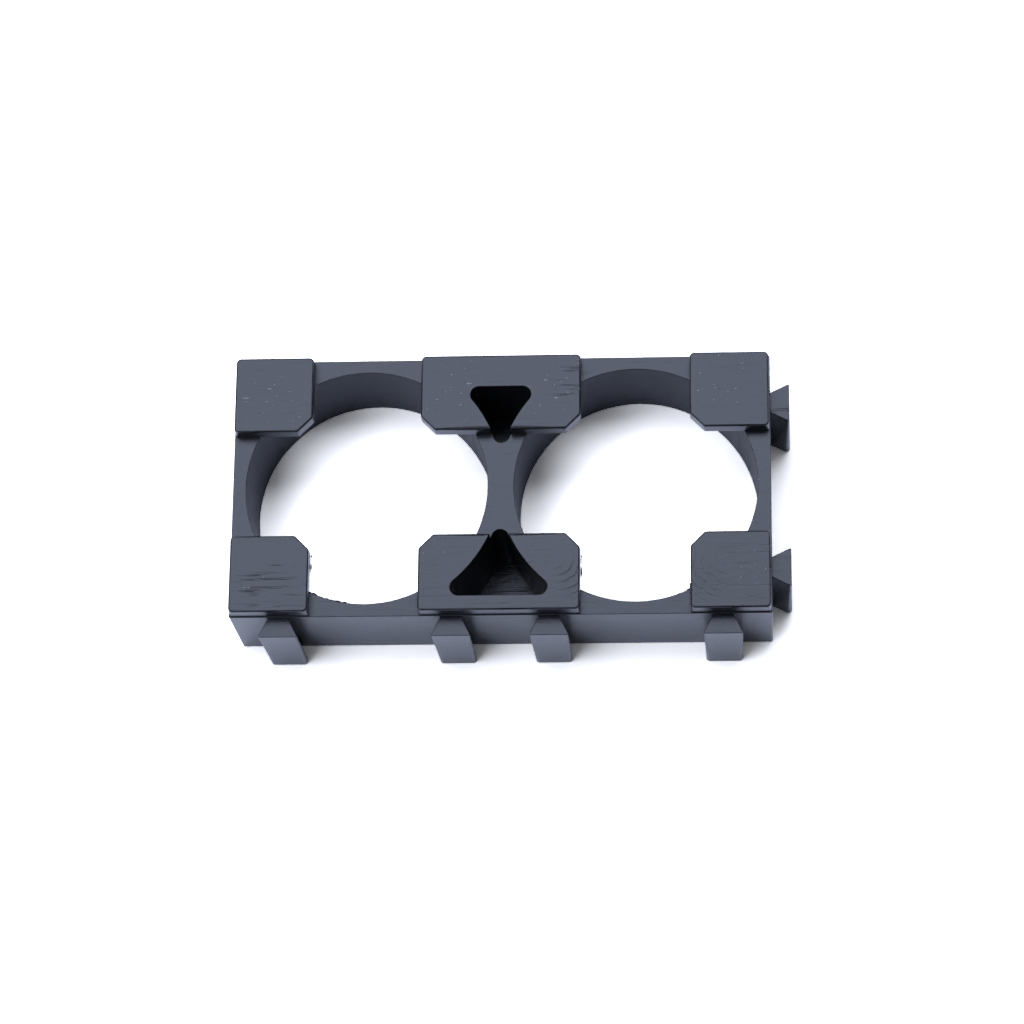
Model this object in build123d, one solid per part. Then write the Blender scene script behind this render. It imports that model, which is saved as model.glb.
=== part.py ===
from build123d import *
import os
from math import sqrt

# Battery cell holder bracket: one injection-moulded piece that holds the ends of cylindrical
# 18650 cells side by side. Millimetres, +Z up. The origin is the middle of the underside.
# X runs along the row of cells. The front faces -Y.
# A cell enters a bore from the underside and stops against the pads on top. The hooks on the
# front and the right side slide up into the slots in the back and the left side of a neighbour.

# ---- driving dimensions ----
cell_count = 2                 # cells in the row

bore_diameter = 18.5           # round hole for a cell
bore_wall = 1.0                # plastic left where a bore comes nearest to a side
body_height = 8.0              # depth of the bores
body_corner_radius = 0.15      # upright corners of the body

pad_height = 1.2               # how far the stop pads stand above the body
pad_setback = 0.1              # ledge between the body's sides and the pads
pad_window = 8.3               # clear opening between the pads of one cell, both ways
pad_chamfer = 1.1              # pad corner that points at the middle of a cell
pad_foot_radius = 0.1          # upright corners of the pads where they leave the body
pad_top_radius = 0.4           # the same corners at the top
pad_edge_radius = 0.15         # round along the pads' top edge

pocket_wall = 1.15             # plastic between a bore and a pocket
pocket_corner_radius = 0.65    # the three corners of a pocket
pocket_floor = 1.0             # skin left under a pocket
pocket_front_wall = 1.25       # plastic in front of the front pocket
pocket_slot_wall = 1.05        # plastic between the back pocket and the slots behind it

hook_offset = 6.55             # from a cell's axis to its hooks and slots
hook_reach = 1.45              # how far a hook stands out at its top
hook_root_width = 1.6          # where it leaves the body
hook_tip_width = 3.05          # at its outer face
hook_tip_radius = 0.1          # upright corners of the outer face at the top
hook_drop = 0.4                # from the top of the body down to a hook's top
hook_draft = 0.06              # how far every side of a hook moves out from its top to its foot
hook_foot_radius = 0.3         # upright corners of the outer face at the foot
slot_clearance = 0.15          # gap round the top of a hook in a neighbour's slot

# ---- worked out from the values above ----
bore_radius = bore_diameter / 2
cell_pitch = bore_diameter + 2 * bore_wall
body_length = cell_count * cell_pitch
body_width = cell_pitch
total_height = body_height + pad_height
hook_top = body_height - hook_drop
slot_depth = hook_reach + slot_clearance

front_face = -body_width / 2
back_face = body_width / 2
left_face = -body_length / 2
right_face = body_length / 2

cell_axes = [left_face + (number + 0.5) * cell_pitch for number in range(cell_count)]
bridges = [left_face + number * cell_pitch for number in range(1, cell_count)]
hook_places = [-hook_offset, hook_offset]


def prism(plan, bottom, top):
    """An upright solid on a plan, from one height to another."""
    return extrude(Pos(0, 0, bottom) * plan, amount=top - bottom)


# ---- body ----
def body_block():
    return prism(RectangleRounded(body_length, body_width, body_corner_radius), 0, body_height)


def cell_bores():
    """Round holes through the body. The pads above them are left whole."""
    return [prism(Pos(x, 0) * Circle(bore_radius), 0, body_height) for x in cell_axes]


# ---- stop pads ----
def pad_plan(radius):
    """Plan of all the pads: the outline of the body less a channel each way over every cell."""
    half_length = body_length / 2 - pad_setback
    half_width = body_width / 2 - pad_setback
    plan = Rectangle(2 * half_length, 2 * half_width)
    plan -= Rectangle(body_length, pad_window)
    plan -= [Pos(x, 0) * Rectangle(pad_window, body_width) for x in cell_axes]
    rows = plan.vertices().group_by(Axis.Y)
    over_the_cells = [corner for corner in rows[1] + rows[2] if abs(corner.X) < half_length - 0.01]
    plan = chamfer(over_the_cells, pad_chamfer)
    return fillet(plan.vertices(), radius)


def stop_pads():
    """Pads whose upright corners are crisp at the foot and grow round towards the top."""
    feet = Pos(0, 0, body_height) * pad_plan(pad_foot_radius)
    tops = Pos(0, 0, total_height) * pad_plan(pad_top_radius)
    pads = Part() + [
        loft([foot, top], ruled=True) for foot, top in zip(feet.faces(), tops.faces())
    ]
    top_edges = pads.faces().group_by(Axis.Z)[-1].edges()
    return fillet(top_edges, pad_edge_radius)


# ---- pockets ----
def arc_about(centre, start, end):
    """The shorter arc from start to end round a centre."""
    radius = (start - centre).length
    halfway = ((start - centre) + (end - centre)).normalized() * radius
    return ThreePointArc(start, centre + halfway, end)


def pocket_plan(base):
    """Three-cornered plan behind a bridge: two sides follow the bores, the third is at y = base.

    The corners are round and touch the sides, so the wall to a bore is even all along.
    """
    side_radius = bore_radius + pocket_wall
    radius = pocket_corner_radius
    half_pitch = cell_pitch / 2
    left_cell = Vector(-half_pitch, 0)
    right_cell = Vector(half_pitch, 0)
    corner_y = base - radius
    corner_x = half_pitch - sqrt((side_radius + radius) ** 2 - corner_y ** 2)
    left_corner = Vector(-corner_x, corner_y)
    right_corner = Vector(corner_x, corner_y)
    apex = Vector(0, sqrt((side_radius + radius) ** 2 - half_pitch ** 2))

    def touch(corner, cell):
        """Where a round corner meets the side that follows a cell."""
        return corner + (cell - corner).normalized() * radius

    up = Vector(0, radius)
    return make_face([
        arc_about(apex, touch(apex, left_cell), touch(apex, right_cell)),
        arc_about(right_cell, touch(apex, right_cell), touch(right_corner, right_cell)),
        arc_about(right_corner, touch(right_corner, right_cell), right_corner + up),
        Line(right_corner + up, left_corner + up),
        arc_about(left_corner, left_corner + up, touch(left_corner, left_cell)),
        arc_about(left_cell, touch(left_corner, left_cell), touch(apex, left_cell)),
    ])


def pockets():
    """Blind pockets, open on top, in front of and behind each bridge.

    The back one is shorter, to stay clear of the slots in the back of the body.
    """
    front = mirror(pocket_plan(body_width / 2 - pocket_front_wall), Plane.XZ)
    back = pocket_plan(body_width / 2 - slot_depth - pocket_slot_wall)
    plans = [Pos(x, 0) * plan for x in bridges for plan in (front, back)]
    return [prism(plan, pocket_floor, total_height) for plan in plans]


# ---- hooks and slots ----
def dovetail_plan(growth, radius):
    """Plan of a hook that leaves its wall along +Y, with every side moved out by the growth."""
    root = hook_root_width / 2 + growth
    tip = hook_tip_width / 2 + growth
    reach = hook_reach + growth
    behind = -slot_depth / 4
    plan = make_face(Polyline(
        (-root, behind), (-root, 0), (-tip, reach), (tip, reach), (root, 0), (root, behind),
        close=True,
    ))
    return fillet(plan.vertices().group_by(Axis.Y)[-1], radius)


def hook():
    """A dovetail with draft, so that it is a little larger and rounder at the foot."""
    foot = dovetail_plan(hook_draft, hook_foot_radius)
    top = Pos(0, 0, hook_top) * dovetail_plan(0, hook_tip_radius)
    return loft([foot, top], ruled=True)


def slot():
    """Room for a hook, open on the underside and closed on top by a pad."""
    return prism(dovetail_plan(slot_clearance, hook_tip_radius), 0, body_height)


def along_faces(shape, face_y, turn_y, face_x, turn_x):
    """Copies of a hook or slot at each place along one long face and one short face."""
    long_face = [
        Pos(x + place, face_y) * Rot(0, 0, turn_y) * shape
        for x in cell_axes
        for place in hook_places
    ]
    short_face = [Pos(face_x, place) * Rot(0, 0, turn_x) * shape for place in hook_places]
    return long_face + short_face


def cell_bracket():
    bracket = body_block()
    bracket += along_faces(hook(), front_face, 180, right_face, -90)
    bracket -= along_faces(slot(), back_face, 180, left_face, -90)
    bracket -= cell_bores()
    bracket += stop_pads()
    bracket -= pockets()
    return bracket


os.makedirs("parts", exist_ok=True)
export_step(cell_bracket(), "parts/cell_bracket.step")
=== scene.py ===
from math import cos, pi, radians, sin

import bmesh
import bpy
from mathutils import Euler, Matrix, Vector
from mathutils.bvhtree import BVHTree


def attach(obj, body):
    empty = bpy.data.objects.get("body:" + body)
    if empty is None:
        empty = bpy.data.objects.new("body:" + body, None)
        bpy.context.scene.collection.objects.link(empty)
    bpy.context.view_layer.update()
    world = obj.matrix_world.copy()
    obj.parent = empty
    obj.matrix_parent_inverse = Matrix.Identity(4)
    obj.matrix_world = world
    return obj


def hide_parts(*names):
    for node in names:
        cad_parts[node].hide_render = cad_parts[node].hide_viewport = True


# Battery cell holder bracket: one moulding of black ABS that holds two round cells side by side.
# Metres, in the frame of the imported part: X along the row, front towards -Y, +Z up.

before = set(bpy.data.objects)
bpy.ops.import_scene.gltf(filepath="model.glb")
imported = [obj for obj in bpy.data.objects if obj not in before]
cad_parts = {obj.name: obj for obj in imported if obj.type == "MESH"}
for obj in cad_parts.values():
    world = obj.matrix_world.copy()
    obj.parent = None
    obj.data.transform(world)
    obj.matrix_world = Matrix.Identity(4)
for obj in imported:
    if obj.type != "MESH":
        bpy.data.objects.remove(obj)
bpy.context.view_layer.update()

MM = 0.001

# ---- sizes of the finish ----
edge_break = 0.05 * MM         # round that the mould leaves along every outer edge
edge_steps = 3                 # faces across that round
stray_share = 0.6              # a corner further off the moulding than this share is put back
crease = radians(40)           # a sharper fold than this is an edge
flat_fold = radians(0.5)       # a flatter one is no edge at all
weld_gap = 0.002 * MM          # corners nearer than this are one corner
flash_thickness = 0.07 * MM    # thickest part of the ragged plastic left at a parting edge
flash_raggedness = 0.16 * MM   # how far it wanders
flash_step = 0.09 * MM         # from one bend of it to the next
flash_wave = 0.35 * MM         # length of its thick and thin stretches
flash_swell = (0.42, 0.62)     # noise at which it is thinnest and thickest
flash_thinnest = 0.15          # share of its thickness that is left there
flash_seed = 4.0

# ---- surface ----
cell_offset = 10.25 * MM       # from the middle of the bracket to a bore's axis
bore_radius = 9.25 * MM
bore_top = 8.0 * MM
pad_flash_height = 8.06 * MM   # just over the foot of the pads
black_code = "#15171c"         # the plastic itself
rubbed_code = "#7d818c"        # the plastic where it is rubbed pale
sheen_code = "#dfe8ff"         # tint of what its skin mirrors
abs_ior = 1.52
moulded_roughness = 0.30       # satin, as a polished cavity leaves
bore_roughness = 0.62          # taken as matt, as spark-eroded core pins leave
wall_fade = (0.02 * MM, 0.06 * MM)   # outside the bore's wall: its finish begins to end, and has ended
rim_fade = (0.03 * MM, 0.01 * MM)    # the same below the rim
grain_size = 0.30 * MM         # bumps of the satin skin
grain_depth = 0.03 * MM
grain_strength = 0.5
groove_depth = 0.035 * MM
groove_strength = 0.6
groove_cut = (0.56, 0.70)      # noise at which a groove begins, and has its full depth
groove_everywhere = 0.22       # share of that depth away from the grooved places
groove_length = 4.0            # millimetres, along X
groove_spacing = 0.32          # millimetres, across
ring_spacing = 0.55 * MM
ring_period = 0.314            # spacing of the wave texture's own rings, at a scale of 1
ring_wobble = 7.0
ring_cut = (0.72, 0.95)        # wave at which a ring begins, and is deepest
ring_share = 0.55              # its depth as a share of a groove's
ring_aside = (0.9, 0.55)       # the part that shows lies this share of the reach aside, and in front
worn_size = 0.16 * MM          # gaps that break a scuff up
worn_cut = (0.36, 0.60)        # noise at which a gap ends, and the scuff is whole
bare_share = 0.35              # share of the strokes that are left out
stroke_edge = 0.05             # soft edge of a stroke, as a share of the spacing
spot_core = 0.4                # share of a spot's reach where it is at full strength

# Runs of flash: which bore and its angles in degrees, or the x of a pad's side and its y from and to.
flash_on_rims = [(-1, 232, 262), (1, 290, 318), (-1, 96, 108)]
flash_on_pads = [(-14.34, -7.1, -5.4), (14.34, -8.7, -7.9), (6.16, -7.3, -5.6)]

# Places on the moulding: x, y and z of the middle and the reach of each, in millimetres.
rubbed = [
    (4.8, 7.4, 9.2, 3.2), (-3.6, 6.8, 9.2, 3.4), (-17.9, 6.2, 9.2, 3.0), (16.4, 8.2, 9.2, 2.9),
    (17.9, 6.0, 9.2, 1.4), (19.1, -6.8, 9.2, 2.0), (-5.2, -5.2, 9.2, 1.5), (-18.6, -8.0, 9.2, 1.6),
    (20.0, 1.5, 8.0, 2.2),
]
grooved = [(-17.2, -8.6, 9.2, 3.6), (0.0, -7.6, 1.0, 5.0), (21.3, 6.5, 7.6, 1.6), (5.6, 8.0, 9.2, 2.4)]

# The same for round grooves, and the side of their middle on which they show: 1 right, -1 left.
swirled = [(4.1, -6.4, 9.2, 2.2, 1), (17.2, -6.4, 9.2, 2.4, -1)]

# Kinds of scuff: turn in degrees, squash along the stroke, spacing in millimetres, width over spacing.
rub_strokes = [
    (35, 0.30, 0.34, 0.20), (-62, 0.16, 0.36, 0.17), (12, 0.22, 0.30, 0.16), (0, 0.9, 0.34, 0.20),
]

# ---- view ----
view_aim = Vector((0.88, -2.11, 8.0)) * MM
view_distance = 273.1 * MM
view_turns = (17.87, 4.00, 0.59)   # degrees: tipped back from straight down, leant right, turned
view_lens = 126.7                  # millimetres, on a sensor 36 mm wide

# ---- light ----
room_level = 0.12
light_tone = "#f6f8ff"         # a little cool
lamp_distance = 0.5            # metres, from the middle of the bracket
backdrop_fade = (0.10, 0.22)   # sine of the angle above the horizon where mirrors begin to lose it, and have
board_reach = 1.5              # metres, from the middle of the board to its edges
board_code = "#e6e9f2"
board_gain = 2.1               # colour added to the board where the camera looks at it
board_mirrored = (0.90, 1.00, 1.30)   # the same where it is mirrored: red, green, blue

# Lamps: the way to each, its width and height in metres, and how bright its face is.
lamps = [
    ("key_softbox", (-0.43, -0.25, 0.87), 0.27, 0.27, 2.7),
    ("top_softbox", (-0.06, 0.36, 0.93), 0.50, 0.28, 4.1),
    ("left_fill", (-0.80, -0.33, 0.50), 0.30, 0.25, 0.9),
    ("right_fill", (0.82, 0.28, 0.50), 0.30, 0.25, 0.4),
]


def colour(code):
    """Linear colour of an sRGB hex value."""
    parts = [int(code[place:place + 2], 16) / 255 for place in (1, 3, 5)]
    linear = [part / 12.92 if part <= 0.04045 else ((part + 0.055) / 1.055) ** 2.4 for part in parts]
    return (*linear, 1.0)


def node(tree, kind, links=None, **settings):
    """Adds a node with its settings. Links gives each input a socket or a plain value."""
    made = tree.nodes.new(kind)
    for name, value in settings.items():
        setattr(made, name, value)
    for name, value in (links or {}).items():
        if isinstance(value, bpy.types.NodeSocket):
            tree.links.new(value, made.inputs[name])
        else:
            made.inputs[name].default_value = value
    return made


def new_material(name):
    """An empty material and its node tree."""
    material = bpy.data.materials.new(name)
    material.use_nodes = True
    material.node_tree.nodes.clear()
    return material, material.node_tree


# ---- materials ----
def near(tree, place, spots):
    """1 in the core of each spot and 0 from its reach outwards. A spot is x, y, z and reach in mm."""
    found = 0.0
    for x, y, z, reach in spots:
        away = node(tree, "ShaderNodeVectorMath", {
            0: place, 1: Vector((x, y, z)) * MM,
        }, operation="DISTANCE")
        spot = node(tree, "ShaderNodeMapRange", {
            "Value": away.outputs["Value"], "From Min": spot_core * reach * MM, "From Max": reach * MM,
            "To Min": 1.0, "To Max": 0.0,
        })
        found = node(tree, "ShaderNodeMath", {0: found, 1: spot.outputs[0]}, operation="MAXIMUM").outputs[0]
    return found


def bore_finish(tree, place):
    """Roughness: satin all over, matt on the walls of the bores."""
    at = node(tree, "ShaderNodeSeparateXYZ", {0: place})
    aside = node(tree, "ShaderNodeMath", {0: at.outputs["X"]}, operation="ABSOLUTE")
    aside = node(tree, "ShaderNodeMath", {0: aside.outputs[0], 1: cell_offset}, operation="SUBTRACT")
    across = node(tree, "ShaderNodeCombineXYZ", {"X": aside.outputs[0], "Y": at.outputs["Y"]})
    from_axis = node(tree, "ShaderNodeVectorMath", {0: across.outputs[0]}, operation="LENGTH")
    outside = node(tree, "ShaderNodeMapRange", {
        "Value": from_axis.outputs["Value"],
        "From Min": bore_radius + wall_fade[0], "From Max": bore_radius + wall_fade[1],
    })
    on_top = node(tree, "ShaderNodeMapRange", {
        "Value": at.outputs["Z"], "From Min": bore_top - rim_fade[0], "From Max": bore_top - rim_fade[1],
    })
    off_wall = node(tree, "ShaderNodeMath", {
        0: outside.outputs[0], 1: on_top.outputs[0],
    }, operation="MAXIMUM")
    return node(tree, "ShaderNodeMapRange", {
        "Value": off_wall.outputs[0], "To Min": bore_roughness, "To Max": moulded_roughness,
    }).outputs[0]


def straight_grooves(tree, place):
    """Fine grooves along X: faint all over, stronger in places."""
    drawn = node(tree, "ShaderNodeMapping", {
        "Vector": place, "Scale": (1 / groove_length, 1 / groove_spacing, 0.0),
    })
    streak = node(tree, "ShaderNodeTexNoise", {
        "Vector": drawn.outputs[0], "Scale": 1 / MM, "Detail": 2.0, "Roughness": 0.6,
    })
    groove = node(tree, "ShaderNodeMapRange", {
        "Value": streak.outputs["Fac"], "From Min": groove_cut[0], "From Max": groove_cut[1],
    })
    depth = node(tree, "ShaderNodeMath", {
        0: near(tree, place, grooved), 1: groove_everywhere,
    }, operation="MAXIMUM")
    return node(tree, "ShaderNodeMath", {
        0: groove.outputs[0], 1: depth.outputs[0],
    }, operation="MULTIPLY").outputs[0]


def flow_lines(tree, place):
    """Every groove: the straight ones, and round ones on two pads."""
    swirls = 0.0
    for x, y, z, reach, side in swirled:
        centred = node(tree, "ShaderNodeMapping", {
            "Vector": place, "Location": Vector((-x, -y, 0)) * MM,
        })
        rings = node(tree, "ShaderNodeTexWave", {
            "Vector": centred.outputs[0], "Scale": ring_period / ring_spacing,
            "Distortion": ring_wobble, "Detail": 3.0, "Detail Scale": 0.9,
        }, wave_type="RINGS", rings_direction="Z")
        ring = node(tree, "ShaderNodeMapRange", {
            "Value": rings.outputs["Fac"], "From Min": ring_cut[0], "From Max": ring_cut[1],
        })
        aside = (x + ring_aside[0] * reach * side, y - ring_aside[1] * reach, z, reach)
        swirl = node(tree, "ShaderNodeMath", {
            0: ring.outputs[0], 1: near(tree, place, [aside]),
        }, operation="MULTIPLY")
        swirls = node(tree, "ShaderNodeMath", {
            0: swirls, 1: swirl.outputs[0],
        }, operation="MAXIMUM").outputs[0]
    faint = node(tree, "ShaderNodeMath", {0: swirls, 1: ring_share}, operation="MULTIPLY")
    return node(tree, "ShaderNodeMath", {
        0: straight_grooves(tree, place), 1: faint.outputs[0],
    }, operation="MAXIMUM").outputs[0]


def scuffs(tree, place):
    """Pale rubbed specks and short strokes, in places only."""
    marks = 0.0
    for turn, squash, spacing, width in rub_strokes:
        turned = node(tree, "ShaderNodeMapping", {
            "Vector": place, "Rotation": (0, 0, radians(turn)), "Scale": (squash, 1, 0.0),
        })
        dots = node(tree, "ShaderNodeTexVoronoi", {
            "Vector": turned.outputs[0], "Scale": 1 / (spacing * MM), "Randomness": 1.0,
        }, feature="F1", voronoi_dimensions="3D")
        chance = node(tree, "ShaderNodeSeparateColor", {0: dots.outputs["Color"]})
        size = node(tree, "ShaderNodeMapRange", {
            "Value": chance.outputs[0], "From Min": bare_share, "To Max": width,
        })
        inside = node(tree, "ShaderNodeMath", {
            0: size.outputs[0], 1: dots.outputs["Distance"],
        }, operation="SUBTRACT")
        mark = node(tree, "ShaderNodeMapRange", {"Value": inside.outputs[0], "From Max": stroke_edge})
        marks = node(tree, "ShaderNodeMath", {0: marks, 1: mark.outputs[0]}, operation="MAXIMUM").outputs[0]
    worn = node(tree, "ShaderNodeTexNoise", {"Vector": place, "Scale": 1 / worn_size, "Detail": 2.0})
    whole = node(tree, "ShaderNodeMapRange", {
        "Value": worn.outputs["Fac"], "From Min": worn_cut[0], "From Max": worn_cut[1],
    })
    broken = node(tree, "ShaderNodeMath", {0: marks, 1: whole.outputs[0]}, operation="MULTIPLY")
    return node(tree, "ShaderNodeMath", {
        0: broken.outputs[0], 1: near(tree, place, rubbed),
    }, operation="MULTIPLY").outputs[0]


def moulded_abs():
    """Black ABS, injection moulded in a plain steel tool.

    To the eye it is almost black by itself. Its satin skin mirrors what stands over it, so it
    shows a cool grey on top and stays dark where it faces something dark.
    """
    material, tree = new_material("black_abs_moulded")
    place = node(tree, "ShaderNodeTexCoord").outputs["Object"]
    finish = bore_finish(tree, place)
    lines = flow_lines(tree, place)
    rubs = scuffs(tree, place)
    grain = node(tree, "ShaderNodeTexNoise", {
        "Vector": place, "Scale": 1 / grain_size, "Detail": 3.0, "Roughness": 0.65,
    })
    skin = node(tree, "ShaderNodeBump", {
        "Height": grain.outputs["Fac"], "Strength": grain_strength, "Distance": grain_depth,
    })
    grooves = node(tree, "ShaderNodeBump", {
        "Height": lines, "Strength": groove_strength, "Distance": groove_depth,
        "Normal": skin.outputs["Normal"],
    }, invert=True)
    base = node(tree, "ShaderNodeMixRGB", {
        "Fac": rubs, "Color1": colour(black_code), "Color2": colour(rubbed_code),
    })
    shader = node(tree, "ShaderNodeBsdfPrincipled", {
        "Base Color": base.outputs[0], "Roughness": finish, "IOR": abs_ior,
        "Specular Tint": colour(sheen_code), "Normal": grooves.outputs["Normal"],
    })
    node(tree, "ShaderNodeOutputMaterial", {"Surface": shader.outputs["BSDF"]})
    return material


def white_table():
    """Matt white board, clear from below.

    Its colour is raised where the camera sees it, so it is white beyond the shadow, and raised and
    bluer where it is mirrored. Diffuse rays meet the plain colour.
    """
    material, tree = new_material("white_board")
    ray = node(tree, "ShaderNodeLightPath")
    viewed = node(tree, "ShaderNodeMath", {
        0: ray.outputs["Is Camera Ray"], 1: board_gain,
    }, operation="MULTIPLY")
    mirrored = node(tree, "ShaderNodeMath", {
        0: ray.outputs["Is Glossy Ray"], 1: ray.outputs["Is Transmission Ray"],
    }, operation="MAXIMUM")
    tinted = node(tree, "ShaderNodeVectorMath", {
        0: board_mirrored, "Scale": mirrored.outputs[0],
    }, operation="SCALE")
    bright = node(tree, "ShaderNodeVectorMath", {
        0: viewed.outputs[0], 1: tinted.outputs[0],
    }, operation="MAXIMUM")
    board = node(tree, "ShaderNodeBsdfDiffuse", {"Color": colour(board_code)})
    lift = node(tree, "ShaderNodeBsdfDiffuse", {"Color": bright.outputs[0]})
    faded = node(tree, "ShaderNodeAddShader", {0: board.outputs[0], 1: lift.outputs[0]})
    side = node(tree, "ShaderNodeNewGeometry").outputs["Backfacing"]
    clear = node(tree, "ShaderNodeBsdfTransparent")
    shown = node(tree, "ShaderNodeMixShader", {
        0: side, 1: faded.outputs[0], 2: clear.outputs[0],
    })
    node(tree, "ShaderNodeOutputMaterial", {"Surface": shown.outputs[0]})
    return material


# ---- pieces ----
def moulded_bracket():
    """The moulding as one closed skin, with its outer edges broken as a mould leaves them."""
    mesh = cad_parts["cell_bracket"].data.copy()
    mesh.name = "moulded_bracket"
    skin = bmesh.new()
    skin.from_mesh(mesh)
    bmesh.ops.remove_doubles(skin, verts=skin.verts, dist=weld_gap)
    bmesh.ops.dissolve_limit(skin, angle_limit=flat_fold, verts=skin.verts, edges=skin.edges)
    before = BVHTree.FromBMesh(skin)
    outer_edges = [edge for edge in skin.edges if edge.calc_face_angle_signed() > crease]
    bmesh.ops.bevel(
        skin, geom=outer_edges, offset=edge_break, offset_type="OFFSET", segments=edge_steps,
        profile=0.5, affect="EDGES", clamp_overlap=False,
    )
    for corner in skin.verts:      # the bevel overshoots at some points along straight runs
        on_skin, _, _, gap = before.find_nearest(corner.co)
        if gap > stray_share * edge_break:
            corner.co = on_skin
    for face in skin.faces:
        face.smooth = True
    skin.to_mesh(mesh)
    skin.free()
    piece = bpy.data.objects.new("moulded_bracket", mesh)
    bpy.context.scene.collection.objects.link(piece)
    mesh.set_sharp_from_angle(angle=crease)
    weighted = piece.modifiers.new("flat faces stay flat", "WEIGHTED_NORMAL")
    weighted.keep_sharp = True
    return piece


def rim_run(side, start, end):
    """Points along the top rim of a bore, from one angle to another in degrees from +X."""
    steps = 12
    turns = [radians(start + (end - start) * step / steps) for step in range(steps + 1)]
    return [
        (side * cell_offset + bore_radius * cos(turn), bore_radius * sin(turn), bore_top)
        for turn in turns
    ]


def pad_run(x, start, end):
    """Points along the foot of a pad's side that faces a bore, from one y to another."""
    steps = 6
    return [
        (x * MM, (start + (end - start) * step / steps) * MM, pad_flash_height)
        for step in range(steps + 1)
    ]


def flash_tree(material):
    """Turns runs of edges into thin ragged beads of plastic."""
    tree = bpy.data.node_groups.new("mould_flash", "GeometryNodeTree")
    tree.interface.new_socket("Runs", in_out="INPUT", socket_type="NodeSocketGeometry")
    for name in ("Thickness", "Raggedness", "Step", "Seed"):
        tree.interface.new_socket(name, in_out="INPUT", socket_type="NodeSocketFloat")
    tree.interface.new_socket("Flash", in_out="OUTPUT", socket_type="NodeSocketGeometry")
    given = node(tree, "NodeGroupInput").outputs
    runs = node(tree, "GeometryNodeMeshToCurve", {"Mesh": given["Runs"]})
    bends = node(tree, "GeometryNodeResampleCurve", {
        "Curve": runs.outputs[0], "Length": given["Step"],
    }, mode="LENGTH")
    wander = node(tree, "ShaderNodeTexNoise", {
        "W": given["Seed"], "Scale": 1 / flash_wave, "Detail": 2.0,
    }, noise_dimensions="4D")
    centred = node(tree, "ShaderNodeVectorMath", {
        0: wander.outputs["Color"], 1: (0.5, 0.5, 0.5),
    }, operation="SUBTRACT")
    offset = node(tree, "ShaderNodeVectorMath", {
        0: centred.outputs[0], "Scale": given["Raggedness"],
    }, operation="SCALE")
    ragged = node(tree, "GeometryNodeSetPosition", {
        "Geometry": bends.outputs[0], "Offset": offset.outputs[0],
    })
    swell = node(tree, "ShaderNodeMapRange", {
        "Value": wander.outputs["Fac"], "From Min": flash_swell[0], "From Max": flash_swell[1],
        "To Min": flash_thinnest,
    })
    thick = node(tree, "ShaderNodeMath", {
        0: swell.outputs[0], 1: given["Thickness"],
    }, operation="MULTIPLY")
    outline = node(tree, "GeometryNodeCurvePrimitiveCircle", {"Resolution": 6, "Radius": 1.0})
    bead = node(tree, "GeometryNodeCurveToMesh", {
        "Curve": ragged.outputs[0], "Profile Curve": outline.outputs[0], "Scale": thick.outputs[0],
        "Fill Caps": True,
    })
    solid = node(tree, "GeometryNodeRealizeInstances", {"Geometry": bead.outputs[0]})
    done = node(tree, "GeometryNodeSetMaterial", {"Geometry": solid.outputs[0], "Material": material})
    node(tree, "NodeGroupOutput", {"Flash": done.outputs[0]})
    return tree


def mould_flash(material):
    """Ragged beads of plastic along a few rims and pad feet."""
    runs = [rim_run(*run) for run in flash_on_rims] + [pad_run(*run) for run in flash_on_pads]
    points, edges = [], []
    for run in runs:
        first = len(points)
        points += run
        edges += [(place, place + 1) for place in range(first, len(points) - 1)]
    mesh = bpy.data.meshes.new("mould_flash")
    mesh.from_pydata(points, edges, [])
    piece = bpy.data.objects.new("mould_flash", mesh)
    bpy.context.scene.collection.objects.link(piece)
    grown = piece.modifiers.new("flash", "NODES")
    grown.node_group = flash_tree(material)
    sizes = {
        "Thickness": flash_thickness, "Raggedness": flash_raggedness, "Step": flash_step,
        "Seed": flash_seed,
    }
    for socket in grown.node_group.interface.items_tree:
        if socket.name in sizes:
            grown[socket.identifier] = sizes[socket.name]
    return piece


def settle(piece):
    """Turns a piece's modifiers into its plain mesh."""
    evaluated = piece.evaluated_get(bpy.context.evaluated_depsgraph_get())
    mesh = bpy.data.meshes.new_from_object(evaluated)
    piece.modifiers.clear()
    piece.data = mesh


# ---- studio ----
def table_top():
    """A wide floor at the height that the bracket rests on."""
    mesh = bpy.data.meshes.new("table_top")
    corners = [
        (-board_reach, -board_reach, 0), (board_reach, -board_reach, 0),
        (board_reach, board_reach, 0), (-board_reach, board_reach, 0),
    ]
    mesh.from_pydata(corners, [], [(0, 1, 2, 3)])
    table = bpy.data.objects.new("table_top", mesh)
    bpy.context.scene.collection.objects.link(table)
    mesh.materials.append(white_table())


def softbox(name, towards, width, height, level):
    """A flat soft light that faces the part from a direction, as bright all over as its level."""
    light = bpy.data.lights.new(name, "AREA")
    light.shape = "RECTANGLE"
    light.size = width
    light.size_y = height
    light.color = colour(light_tone)[:3]
    light.energy = level * pi * width * height
    lamp = bpy.data.objects.new(name, light)
    direction = Vector(towards).normalized()
    lamp.location = direction * lamp_distance
    lamp.rotation_euler = direction.to_track_quat("Z", "Y").to_euler()
    bpy.context.scene.collection.objects.link(lamp)


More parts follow.
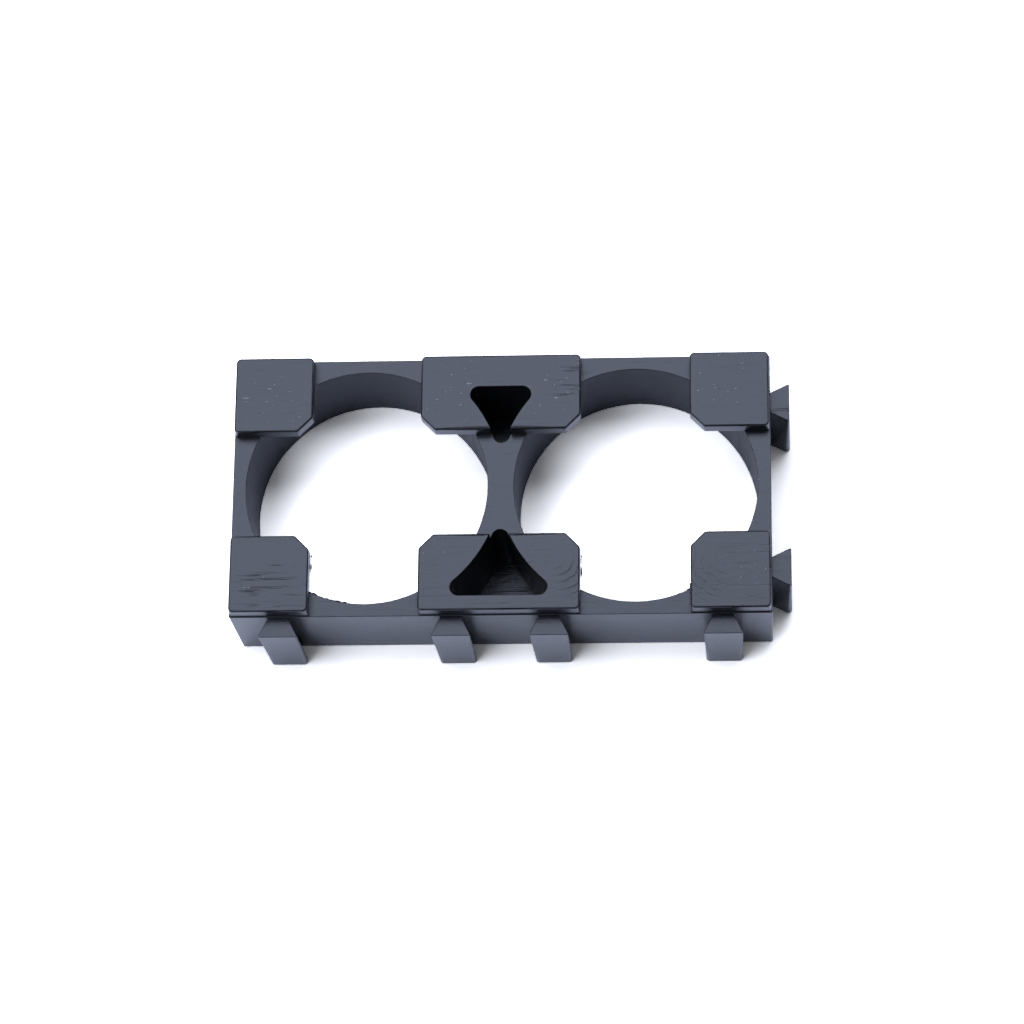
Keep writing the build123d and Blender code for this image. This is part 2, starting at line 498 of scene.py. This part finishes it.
def room():
    """Faint even light. The camera sees white everywhere, and mirrors show it near the horizon."""
    world = bpy.data.worlds.new("room_and_backdrop")
    world.use_nodes = True
    tree = world.node_tree
    tree.nodes.clear()
    ray = node(tree, "ShaderNodeLightPath")
    mirrored = node(tree, "ShaderNodeMath", {
        0: ray.outputs["Is Glossy Ray"], 1: ray.outputs["Is Transmission Ray"],
    }, operation="MAXIMUM")
    way = node(tree, "ShaderNodeSeparateXYZ", {
        0: node(tree, "ShaderNodeTexCoord").outputs["Generated"],
    })
    backdrop = node(tree, "ShaderNodeMapRange", {
        "Value": way.outputs["Z"], "From Min": backdrop_fade[0], "From Max": backdrop_fade[1],
        "To Min": 1.0, "To Max": 0.0,
    })
    mirrored = node(tree, "ShaderNodeMath", {
        0: mirrored.outputs[0], 1: backdrop.outputs[0],
    }, operation="MULTIPLY")
    seen = node(tree, "ShaderNodeMath", {
        0: ray.outputs["Is Camera Ray"], 1: mirrored.outputs[0],
    }, operation="MAXIMUM")
    light = node(tree, "ShaderNodeBackground", {"Color": (1, 1, 1, 1), "Strength": room_level})
    white = node(tree, "ShaderNodeBackground", {"Color": (1, 1, 1, 1), "Strength": 1.0})
    shown = node(tree, "ShaderNodeMixShader", {
        0: seen.outputs[0], 1: light.outputs[0], 2: white.outputs[0],
    })
    node(tree, "ShaderNodeOutputWorld", {"Surface": shown.outputs[0]})
    bpy.context.scene.world = world


def viewpoint():
    camera = bpy.data.cameras.new("viewpoint")
    camera.lens = view_lens
    camera.sensor_width = 36
    camera.clip_start = 0.01
    camera.clip_end = 10
    eye = bpy.data.objects.new("viewpoint", camera)
    eye.rotation_euler = Euler([radians(turn) for turn in view_turns])
    eye.location = view_aim + eye.rotation_euler.to_matrix() @ Vector((0, 0, view_distance))
    bpy.context.scene.collection.objects.link(eye)
    bpy.context.scene.camera = eye


bracket = moulded_bracket()
settle(bracket)
black_abs = moulded_abs()
bracket.data.materials.clear()
bracket.data.materials.append(black_abs)
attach(bracket, "root")
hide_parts("cell_bracket")

flash = mould_flash(black_abs)
settle(flash)
for face in flash.data.polygons:
    face.use_smooth = True
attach(flash, "root")

table_top()
for lamp in lamps:
    softbox(*lamp)
room()
viewpoint()
bpy.context.scene.view_settings.view_transform = "Standard"
